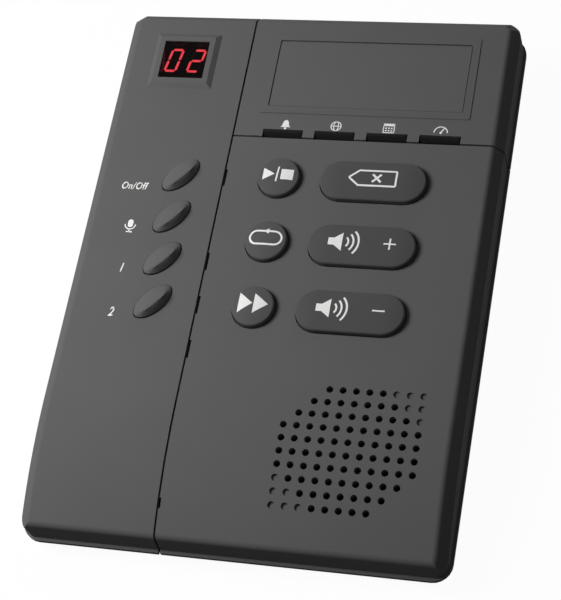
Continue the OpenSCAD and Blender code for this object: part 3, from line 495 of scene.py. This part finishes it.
def ruled(edge_a, edge_b, across=4):
    """Grid of points A + v (B - A), with v from 0 to 1, between two edges of as many points."""
    a, b = np.asarray(edge_a, float), np.asarray(edge_b, float)
    v = np.linspace(0, 1, across)[None, :, None]
    return a[:, None, :] + v * (b - a)[:, None, :]


def line(a, b, steps=8):
    """Points P = A + u (B - A)."""
    return np.asarray(a, float) + np.linspace(0, 1, steps)[:, None] * np.subtract(b, a)


def arc(centre, radius, start, end, steps=33):
    """Points on a circle, from one angle to another in degrees. radius may be a pair."""
    turn = np.radians(np.linspace(start, end, steps))
    return np.asarray(centre, float) + np.stack((np.cos(turn), np.sin(turn)), 1) * radius


def stroke(path, width):
    """A path given a width: its two sides are P + n width / 2 and P - n width / 2, where n is
    square to the path's direction."""
    path = np.asarray(path, float)
    way = np.gradient(path, axis=0)
    way /= np.linalg.norm(way, axis=1, keepdims=True)
    side = np.stack((-way[:, 1], way[:, 0]), 1) * width / 2
    return ruled(path - side, path + side)


def bar(centre, size):
    """A filled rectangle."""
    (x, y), (w, h) = centre, size
    return ruled(line((x - w / 2, y - h / 2), (x + w / 2, y - h / 2)),
                 line((x - w / 2, y + h / 2), (x + w / 2, y + h / 2)))


def triangle(point, base_a, base_b):
    """A filled triangle, ruled from its point to its base."""
    return ruled(np.repeat([point], 8, axis=0), line(base_a, base_b))


def disc(centre, radius):
    """A filled circle, ruled from its lower half to its upper half."""
    return ruled(arc(centre, radius, 180, 360, 17), arc(centre, radius, 180, 0, 17))


print("one stroke has", stroke(line((0, 0), (1, 0)), 0.3).shape, "points")

# %% Grids into one thin mesh
INK = 0.04  # mm, how far the top of the printed film stands above the plastic


def new_piece(name, mesh, body):
    """An object for a mesh that is in its place and already has its finish's slot, riding on a
    body.
    """
    piece = bpy.data.objects.new(name, mesh)
    bpy.context.scene.collection.objects.link(piece)
    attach(piece, body)
    return piece


def grids_to_mesh(name, grids, material, body):
    """One piece from (n, m, 3) grids in the ground frame: every four neighbouring points make
    a face, numbered as row * m + column."""
    points, faces, first = [], [], 0
    for grid in grids:
        n, m = grid.shape[:2]
        index = first + np.arange(n * m).reshape(n, m)
        faces.append(np.stack((index[:-1, :-1], index[1:, :-1], index[1:, 1:], index[:-1, 1:]),
                              -1).reshape(-1, 4))
        points.append(grid.reshape(-1, 3))
        first += n * m
    mesh = bpy.data.meshes.new(name)
    mesh.from_pydata(np.concatenate(points).tolist(), [], np.concatenate(faces).tolist())
    mesh.materials.append(material)
    return new_piece(name, mesh, body)


def give_film(piece):
    """Ink has a thickness: it grows from the piece's top down to just above the plastic."""
    film = piece.modifiers.new("film", "SOLIDIFY")
    film.thickness, film.offset = INK * 0.8 * MM, -1.0


def printed(name, patches, body, at, height, shift=(0, 0)):
    """Ink on a face: flat patches shifted, moved to their place, raised to height(x, y) plus the
    film, leaned back, and given the film's thickness."""
    grids = []
    for patch in patches:
        x, y = patch[..., 0] + shift[0], patch[..., 1] + shift[1]
        flat = np.stack((x + at[0], y + at[1], height(x, y) + INK), -1)
        # a patch drawn clockwise would face down, so it is read backwards
        turned = np.cross(flat[1, 0] - flat[0, 0], flat[0, -1] - flat[0, 0])[2] < 0
        turned = turned or np.cross(flat[-1, -1] - flat[-2, -1], flat[-1, 0] - flat[-1, -1])[2] < 0
        grids.append(to_ground(flat[::-1] if turned else flat))
    give_film(grids_to_mesh(name, grids, WHITE_INK, body))


def white_ink():
    """Pad-printing ink: nearly white, satin, a little thinner in spots."""
    material = new_material("ink_pad_printed_white")
    place = add_node(material, "ShaderNodeTexCoord")
    spots = add_node(material, "ShaderNodeTexNoise", {"Scale": 1 / (0.5 * MM), "Detail": 2.0},
                     {"Vector": (place, "Object")})
    tint = add_node(material, "ShaderNodeMix", {"A": linear("#dcdcda"), "B": linear("#f4f4f2")},
                    {"Factor": (spots, "Fac")}, data_type="RGBA")
    return finish_shader(material, {"Roughness": 0.5, "Specular IOR Level": 0.3},
                         {"Base Color": (tint, "Result")})


WHITE_INK = white_ink()
print("ink film in mm:", INK)

# %% Signs on the round buttons
CROWN, BUTTON_EDGE = 0.6, 0.7  # mm, as the buttons are crowned and rounded
FLANGE = 1.0  # mm, how far a button's hidden flange reaches under the cover
SIGN_SHIFT = (0.05, 0.5)  # mm, how far right of and behind the middle of a cap its sign sits


def crowned(node, only_y=False):
    """Height of a crowned button's top: the top less crown (d / flat)^2, where d is the
    distance from the middle, or from the middle line of a lozenge."""
    low, high = face_box(node)
    flat = (high[1] - low[1]) / 2 - FLANGE - BUTTON_EDGE

    def height(x, y):
        d2 = y ** 2 if only_y else x ** 2 + y ** 2
        return high[2] - CROWN * d2 / flat ** 2
    return height


def sign_on_cap(name, patches, only_y=False):
    """A sign that is printed on a button and rides on it."""
    printed(name.replace("button", "sign"), patches, name, face_place(name)[:2],
            crowned(name, only_y), SIGN_SHIFT)


def loop_arrow():
    """A closed track with an arrow head on its upper run, pointing left."""
    half, r = 2.75, 2.25
    track = np.concatenate((arc((half, 0), r, -90, 90, 17), line((half, r), (-half, r))[1:-1],
                            arc((-half, 0), r, 90, 270, 17), line((-half, -r), (half, -r))[1:]))
    return [stroke(track, 0.62), triangle((-0.9, r), (0.8, r - 0.95), (0.8, r + 0.95))]


ROUND_SIGNS = {
    "play_stop_button": [triangle((-1.1, 0), (-4.9, -2.1), (-4.9, 2.1)),
                         stroke(line((-0.4, -2.6), (-0.1, 2.6)), 0.5), bar((2.85, 0), (3.9, 3.6))],
    "repeat_button": loop_arrow(),
    "skip_button": [triangle((0.0, 0), (-4.4, -3.3), (-4.4, 3.3)),
                    triangle((4.8, 0), (0.4, -3.3), (0.4, 3.3))],
}
for name, patches in ROUND_SIGNS.items():
    sign_on_cap(name, patches)
print("signs on round buttons:", len(ROUND_SIGNS))

# %% Signs on the lozenge buttons


def loudspeaker():
    """A loudspeaker seen from the side, with three waves."""
    return [bar((-4.1, 0), (1.9, 2.4)),
            ruled(line((-3.3, -1.2), (-0.7, -3.1)), line((-3.3, 1.2), (-0.7, 3.1))),
            *(stroke(arc((-0.9, 0), radius, -45, 45), 0.6) for radius in (2.1, 3.7, 5.3))]


def erase_tag():
    """A tag with a pointed left end, and a cross in it: erase what is shown."""
    outline = np.concatenate((line((-7.4, 0), (-4.4, 2.55)), line((-4.15, 2.6), (7.2, 2.6)),
                              line((7.4, 2.4), (7.4, -2.4)), line((7.2, -2.6), (-4.15, -2.6)),
                              line((-4.4, -2.55), (-7.4, 0))))
    return [stroke(outline, 0.6), stroke(line((0.0, -1.35), (2.7, 1.35)), 0.7),
            stroke(line((0.0, 1.35), (2.7, -1.35)), 0.7)]


LOUDSPEAKER_X, PLUS_X, PLUS_SIZE = -5.2, 8.8, (3.8, 0.5)  # mm, PLUS_SIZE is one stroke's
LOUDSPEAKER = [p + (LOUDSPEAKER_X, 0) for p in loudspeaker()]
MINUS, UPRIGHT = bar((PLUS_X, 0), PLUS_SIZE), bar((PLUS_X, 0), PLUS_SIZE[::-1])
LOZENGE_SIGNS = {
    "delete_button": erase_tag(),
    "volume_up_button": LOUDSPEAKER + [MINUS, UPRIGHT],
    "volume_down_button": LOUDSPEAKER + [MINUS],
}
for name, patches in LOZENGE_SIGNS.items():
    sign_on_cap(name, patches, only_y=True)
print("signs on lozenge buttons:", len(LOZENGE_SIGNS))

# %% Signs on the covers


def flat_face(x, y):
    """The flat of the face is the zero of the face frame."""
    return 0 * x


def ring(centre, radius, width):
    """A closed circle of a given line width."""
    return stroke(arc(centre, radius, 0, 360, 41), width)


def bell():
    """A bell: its body is ruled between two mirrored sides, over a clapper."""
    y = np.array((-1.0, -0.8, -0.2, 0.5, 1.1, 1.5, 1.6))
    half = np.array((1.7, 1.35, 1.05, 0.95, 0.75, 0.35, 0.0))
    return [ruled(np.stack((-half, y), 1), np.stack((half, y), 1)), disc((0, -1.45), 0.4)]


def globe():
    """A globe with an equator and two meridians."""
    return [ring((0, 0), 1.6, 0.32), stroke(line((-1.6, 0), (1.6, 0)), 0.3),
            stroke(arc((0, 0), (0.75, 1.6), 90, 270), 0.28),
            stroke(arc((0, 0), (0.75, 1.6), -90, 90), 0.28)]


def calendar():
    """A calendar leaf: a frame with a solid head and two rows of days."""
    days = [bar((x, y), (0.5, 0.5)) for x in (-0.9, 0, 0.9) for y in (-0.9, 0.0)]
    frame_lines = [stroke(line((x, -1.6), (x, 1.5)), 0.3) for x in (-1.7, 1.7)]
    return days + frame_lines + [bar((0, -1.6), (3.7, 0.3)), bar((0, 1.2), (3.7, 0.9))]


def gauge():
    """A dial over half a circle, with a hand."""
    return [stroke(arc((0, -0.9), 2.1, 0, 180), 0.35), stroke(line((0, -0.9), (1.0, 0.7)), 0.4),
            disc((0, -0.9), 0.4)]


def memo_microphone():
    """A microphone on a stand."""
    return [ruled(arc((0, 0.3), 0.7, 180, 360, 17), arc((0, 1.1), 0.7, 180, 0, 17)),
            stroke(arc((0, 0.4), 1.35, 180, 360), 0.32), bar((0, -1.3), (0.32, 0.8)),
            bar((0, -1.7), (1.6, 0.32))]


KEY_SIGNS = (bell(), globe(), calendar(), gauge())
KEY_SIGNS_X, KEY_SIGNS_Y = (-4.85, 11.5, 28.45, 44.85), 48.5  # mm, one row behind the small keys
for name, patches, x in zip(KEYS, KEY_SIGNS, KEY_SIGNS_X):
    printed(name.replace("key", "sign"), patches, "housing", (x, KEY_SIGNS_Y), flat_face)
MEMO_AT, MEMO_SCALE = (-48.5, 9.6), 1.25  # left of its leaf button, and larger than the others
printed("memo_sign", [MEMO_SCALE * p for p in memo_microphone()], "housing", MEMO_AT, flat_face)
print("signs on the covers:", len(KEY_SIGNS), "and the microphone")

# %% [markdown]
# ## On/Off and two numbers
#
# The On/Off of the first leaf button and the numbers 1 and 2 beside the last two are
# plain lettering, bold and slanted.
# Blender's own font gives them: a little offset makes it bold, shear slants it. The
# text becomes a mesh first, and its points are then placed like the other signs.

# %% Lettering
LETTER_WIDTH = 0.78  # the letters are narrowed by this factor
FONT_CAP = 0.72  # how high a capital is in a font of size 1
SLANT, BOLD, SPACING = 0.2, 0.024, 1.08  # for a font of size 1


def lettered(name, words, at, cap_height):
    """Text made a mesh, scaled to its cap height, narrowed, and printed on the face, where at
    is the middle of its right end."""
    curve = bpy.data.curves.new(name, "FONT")
    curve.body, curve.align_x, curve.align_y = words, "RIGHT", "CENTER"
    curve.size, curve.shear, curve.offset, curve.space_character = 1.0, SLANT, BOLD, SPACING
    text = bpy.data.objects.new(name + "_text", curve)
    bpy.context.scene.collection.objects.link(text)
    mesh = bpy.data.meshes.new_from_object(text.evaluated_get(
        bpy.context.evaluated_depsgraph_get()))
    bpy.data.objects.remove(text)
    x, y, _ = mesh_points(mesh).T * cap_height / FONT_CAP
    placed = to_ground(np.stack((x * LETTER_WIDTH + at[0], y + at[1], 0 * x + INK), -1))
    mesh.vertices.foreach_set("co", placed.astype(np.float32).ravel())
    mesh.materials.clear()
    mesh.materials.append(WHITE_INK)
    give_film(new_piece(name, mesh, "housing"))
    print(name, "is", round((x.max() - x.min()) * LETTER_WIDTH, 1), "mm wide")


lettered("power_sign", "On/Off", (-46.0, 23.8), 2.5)
lettered("greeting_one_sign", "1", (-47.3, -5.15), 3.1)
lettered("greeting_two_sign", "2", (-47.3, -20.35), 3.1)

# %% [markdown]
# ## The lit figures
#
# A seven-segment figure is seven bars of clear epoxy in a black block, each over its own
# red diode. Here each bar is a hexagon, ruled from its lower edge to its upper edge, and
# slanted as displays are. Lit bars shine; unlit ones stay as faint grey-red shapes with a
# faint painted glow of their own, as they show behind a smoked window.

# %% Seven segments
FIGURE_W, FIGURE_H = 3.65, 8.1  # mm, between the middles of the bars
SEGMENT_W, POINT_GAP, POINT_W = 0.8, 0.2, 0.24  # mm, a bar's width, and how its points end
FIGURE_PITCH, FIGURE_SLANT = 7.65, math.tan(math.radians(10))
FIGURES_AT = (-0.95, 1.95)  # mm, how far right of and behind the module's middle they sit
FIGURE_LIFT, FIGURE_DEPTH = 0.05, 0.04  # mm, height above the module's face, and thickness


def segment(a, b):
    """A bar with pointed ends from a to b: its width grows from that of the point to its full
    one over the first half width of length, and falls again at the far end."""
    a, b = np.array(a, float), np.array(b, float)
    length = np.linalg.norm(b - a)
    way = (b - a) / length
    side = np.array((-way[1], way[0]))
    full = (SEGMENT_W + POINT_GAP) / 2
    along = np.array((POINT_GAP, full, length - full, length - POINT_GAP))
    half = np.array((POINT_W, SEGMENT_W, SEGMENT_W, POINT_W)) / 2
    middle = a + way * along[:, None]
    return ruled(middle - side * half[:, None], middle + side * half[:, None], 3)


def figure(value):
    """The lit and unlit bars of a figure, slanted by x + y tan."""
    x, y = FIGURE_W / 2, FIGURE_H / 2
    bars = {"top": ((-x, y), (x, y)), "middle": ((-x, 0), (x, 0)), "bottom": ((-x, -y), (x, -y)),
            "upper_left": ((-x, 0), (-x, y)), "upper_right": ((x, 0), (x, y)),
            "lower_left": ((-x, -y), (-x, 0)), "lower_right": ((x, -y), (x, 0))}
    dark = {0: ("middle",), 2: ("upper_left", "lower_right")}[value]
    slant = np.array(((1.0, 0.0), (FIGURE_SLANT, 1.0)))
    return ([segment(*bars[key]) @ slant for key in bars if key not in dark],
            [segment(*bars[key]) @ slant for key in bars if key in dark])


def diode_light(name, colour, glow_colour, strength):
    """Diode light through clear epoxy, which is uneven along a bar: two colours, mixed by a
    soft noise."""
    material = new_material(name)
    place = add_node(material, "ShaderNodeTexCoord")
    glow = add_node(material, "ShaderNodeTexNoise", {"Scale": 1 / (1.2 * MM), "Detail": 1.0},
                    {"Vector": (place, "Object")})
    tint = add_node(material, "ShaderNodeMix", {"A": linear(colour), "B": linear(glow_colour)},
                    {"Factor": (glow, "Fac")}, data_type="RGBA")
    return finish_shader(material, {"Roughness": 0.3, "Emission Strength": strength},
                         {"Base Color": (tint, "Result"), "Emission Color": (tint, "Result")})


LIT = diode_light("led_epoxy_lit_red", "#f02a3c", "#ff5a62", 6.0)
# Unlit bars: a faint painted glow, emission where no diode is lit
UNLIT_PAINTED_GLOW = diode_light("led_epoxy_unlit_painted_glow", "#3a1c1c", "#3a1c1c", 0.1)
module_place = face_place("led_display")
lit, unlit = [], []
for x, value in ((-FIGURE_PITCH / 2, 0), (FIGURE_PITCH / 2, 2)):
    for bars, store in zip(figure(value), (lit, unlit)):
        for grid in bars:
            flat = grid + module_place[:2] + FIGURES_AT + (x, 0)
            height = np.full(grid.shape[:2], module_place[2] + FIGURE_LIFT)
            store.append(to_ground(np.dstack((flat, height))))
for name, grids, material in (("figures_lit", lit, LIT), ("figures_unlit", unlit, UNLIT_PAINTED_GLOW)):
    piece = grids_to_mesh(name, grids, material, "housing")
    piece.modifiers.new("depth", "SOLIDIFY").thickness = FIGURE_DEPTH * MM
print("lit bars:", len(lit), "unlit bars:", len(unlit))

# %% [markdown]
# ## Contacts in the rear sockets
#
# A modular socket has springs of gold-plated wire that slope down from the edge of its
# mouth, and a power socket has a plated pin. The wires are a small circle carried along
# a bent path, the usual way to make a tube from a profile.

# %% A tube along a path
POLE = 1e-5  # mm, a tube ends in a ring this small, and welding makes it a point


def tube(path, radius, sides=10):
    """Circle of the given radius carried along a path in the y-z plane: the point at angle t is
    P + radius (cos t X + sin t N), where N is square to the path in that plane. Both ends
    shrink to a point."""
    path = np.asarray(path, float)
    way = np.gradient(path, axis=0)
    way /= np.linalg.norm(way, axis=1, keepdims=True)
    normal = np.stack((0 * way[:, 0], -way[:, 2], way[:, 1]), 1)
    turn = np.linspace(0, 2 * math.pi, sides + 1)[None, :, None]
    size = np.full(len(path), radius)
    size[[0, -1]] = POLE
    ringed = path[:, None, :] + size[:, None, None] * (
        np.cos(turn) * np.array((1.0, 0, 0)) + np.sin(turn) * normal[:, None, :])
    return ringed * MM


def closed(piece):
    """Welds a piece's seam and poles."""
    piece.modifiers.new("weld", "WELD").merge_threshold = 0.001 * MM
    return piece


# %% Contact wires in the two modular sockets
# Brass wire, drawn and gold plated: a warm, bright line in a dark mouth
CONTACT_GOLD = metal("brass_gold_plated", "#d8b25a", 0.22, 0.5)
WIRE_R, WIRES_X = 0.23, (-1.53, -0.51, 0.51, 1.53)  # mm
ROOF = 1.3  # mm, from a socket's top to just under the roof of its mouth
WIRE = np.array(((0, -9.5, -4.2), (0, -3.4, -1.2), (0, -2.6, -0.75), (0, -2.2, -0.4),
                 (0, -2.1, -0.1)))  # mm, in from the mouth's edge and down from its roof
# each end is doubled close by, so that the wire keeps its width up to its end
WIRE = np.concatenate((WIRE[:1], WIRE[:1] * 0.98 + WIRE[1:2] * 0.02, WIRE[1:],
                       WIRE[-1:] + (0, 0, 0.02)))
for socket in ("line_jack", "phone_jack"):
    low, high = (np.array(corner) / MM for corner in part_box(socket))
    mouth = np.array(((low[0] + high[0]) / 2, high[1], high[2] - ROOF))
    wires = [tube(WIRE + mouth + (x, 0, 0), WIRE_R) for x in WIRES_X]
    piece = closed(grids_to_mesh(socket.replace("jack", "contacts"), wires, CONTACT_GOLD,
                                 "housing"))
    print(piece.name, "wires:", len(wires))

# %% The plated sleeve on the power socket's pin
# Brass, turned and nickel plated: a bright ring of light in the round mouth
PIN_NICKEL = metal("brass_nickel_plated", "#c9c8c4", 0.25, 0.5)
SLEEVE, SLEEVE_L, SLEEVE_START = 0.03, 6.5, 0.05  # mm, thickness, length, and its thin start
TIP_R = 0.6  # mm, how long the rounding of its tip is
NEAR_AXIS = 1.5  # mm, the socket's points that are nearer to its axis are the pin's


def revolved(along, radius, centre, sides=25):
    """Surface of revolution about a line in the direction of y: the point at angle t is
    (cx + r cos t, y, cz + r sin t), with y and r read along the profile."""
    turn = np.linspace(0, 2 * math.pi, sides)[None, :]
    along, radius = np.asarray(along, float)[:, None], np.asarray(radius, float)[:, None]
    return np.stack((centre[0] + radius * np.cos(turn), along + 0 * turn,
                     centre[2] + radius * np.sin(turn)), -1) * MM


low, high = (np.array(corner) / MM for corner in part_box("power_jack"))
axis = (low + high) / 2
points = mesh_points(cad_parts["power_jack"].data) / MM
off_axis = np.hypot(points[:, 0] - axis[0], points[:, 2] - axis[2])
pin = off_axis < NEAR_AXIS
tip, pin_r = points[pin, 1].max(), off_axis[pin].max()
bend = np.radians(np.linspace(0, 90, 7))  # the tip of the sleeve is rounded to the axis
along = np.concatenate(((tip - SLEEVE_L, tip - SLEEVE_L + SLEEVE_START),
                        tip - TIP_R + (TIP_R + SLEEVE) * np.sin(bend)))
radius = np.concatenate(((pin_r + 0.001, pin_r + SLEEVE), (pin_r + SLEEVE) * np.cos(bend) ** 0.5))
radius[-1] = POLE
closed(grids_to_mesh("power_pin_sleeve", [revolved(along, radius, axis)[:, ::-1]], PIN_NICKEL,
                     "housing"))
print("pin radius and tip in mm:", round(float(pin_r), 2), round(float(tip), 2))

# %% [markdown]
# ## Floor, background and light
#
# The machine stands on a pale floor before white. The floor shows near white to the
# camera and in reflections, while the light that it throws back on the object is that
# of a grey one, so the tray and the front wall stay as dark as they are in the picture.
# The world does the same: white to look at, and a weak light. The light itself is a
# square panel up beyond the left side, with a weaker one behind for the sockets.

# %% Rays that show the background


def seen_rays(material):
    """1 for a ray from the camera, a reflection or clear plastic, and 0 for one that lights the
    object: the greatest of the three flags."""
    rays = add_node(material, "ShaderNodeLightPath")
    either = add_node(material, "ShaderNodeMath", operation="MAXIMUM",
                      links={0: (rays, "Is Camera Ray"), 1: (rays, "Is Glossy Ray")})
    return add_node(material, "ShaderNodeMath", operation="MAXIMUM",
                    links={0: (either, "Value"), 1: (rays, "Is Transmission Ray")})


# %% Floor: paper, white to look at and grey as a light
FLOOR_HALF = 6  # m
WHITE_SHARE = 0.96  # of the paper's own white where it is seen, the rest takes the shadow
floor_mesh = bpy.data.meshes.new("floor")
floor_mesh.from_pydata([(-FLOOR_HALF, -FLOOR_HALF, 0), (FLOOR_HALF, -FLOOR_HALF, 0),
                        (FLOOR_HALF, FLOOR_HALF, 0), (-FLOOR_HALF, FLOOR_HALF, 0)],
                       [], [(0, 1, 2, 3)])
floor = bpy.data.objects.new("floor", floor_mesh)
bpy.context.scene.collection.objects.link(floor)
paper = new_material("paper_backdrop_white")
seen = seen_rays(paper)
shade = add_node(paper, "ShaderNodeMix", {"A": linear("#4a4a4a"), "B": linear("#f2f2f2")},
                 {"Factor": (seen, "Value")}, data_type="RGBA")
matt = add_node(paper, "ShaderNodeBsdfDiffuse", links={"Color": (shade, "Result")})
lit_paper = add_node(paper, "ShaderNodeEmission", {"Color": (1, 1, 1, 1), "Strength": 1.0})
share = add_node(paper, "ShaderNodeMath", {1: WHITE_SHARE}, {0: (seen, "Value")},
                 operation="MULTIPLY")
mixed = add_node(paper, "ShaderNodeMixShader", links={0: (share, "Value"), 1: (matt, "BSDF"),
                                                      2: (lit_paper, "Emission")})
add_node(paper, "ShaderNodeOutputMaterial", links={"Surface": (mixed, "Shader")})
floor_mesh.materials.append(paper)
print("floor is", 2 * FLOOR_HALF, "m wide")

# %% World: white to look at, dimmer as a light
WORLD_LIGHT = 0.13  # its strength as a light
world = bpy.data.worlds.new("studio")
bpy.context.scene.world = world
world.use_nodes = True
world.node_tree.nodes.clear()
strength = add_node(world, "ShaderNodeMapRange", {"To Min": WORLD_LIGHT, "To Max": 1.0},
                    {"Value": (seen_rays(world), "Value")})
sky = add_node(world, "ShaderNodeBackground", {"Color": (1, 1, 1, 1)},
               {"Strength": (strength, "Result")})
add_node(world, "ShaderNodeOutputWorld", links={"Surface": (sky, "Background")})
print("world's strength as a light:", WORLD_LIGHT)

# %% Lamps: a soft panel beyond the left side, and a weak one behind for the sockets


def panel_lamp(name, place, size, power):
    """A square lamp, size in m and power in W, that looks at the object's middle and isn't in
    the picture itself."""
    lamp = bpy.data.lights.new(name, "AREA")
    lamp.shape, lamp.size, lamp.energy = "SQUARE", size, power
    holder = bpy.data.objects.new(name, lamp)
    place = Vector(place)
    towards = place.to_track_quat("Z", "Y").to_matrix().to_4x4()
    holder.matrix_world = Matrix.Translation(place) @ towards
    holder.visible_camera = False
    bpy.context.scene.collection.objects.link(holder)


panel_lamp("key_panel", (-0.285, -0.035, 0.345), size=0.2, power=1.97)
panel_lamp("rear_panel", (0.05, 0.62, 0.1), size=0.3, power=0.8)
bpy.context.scene.view_settings.view_transform = "Standard"
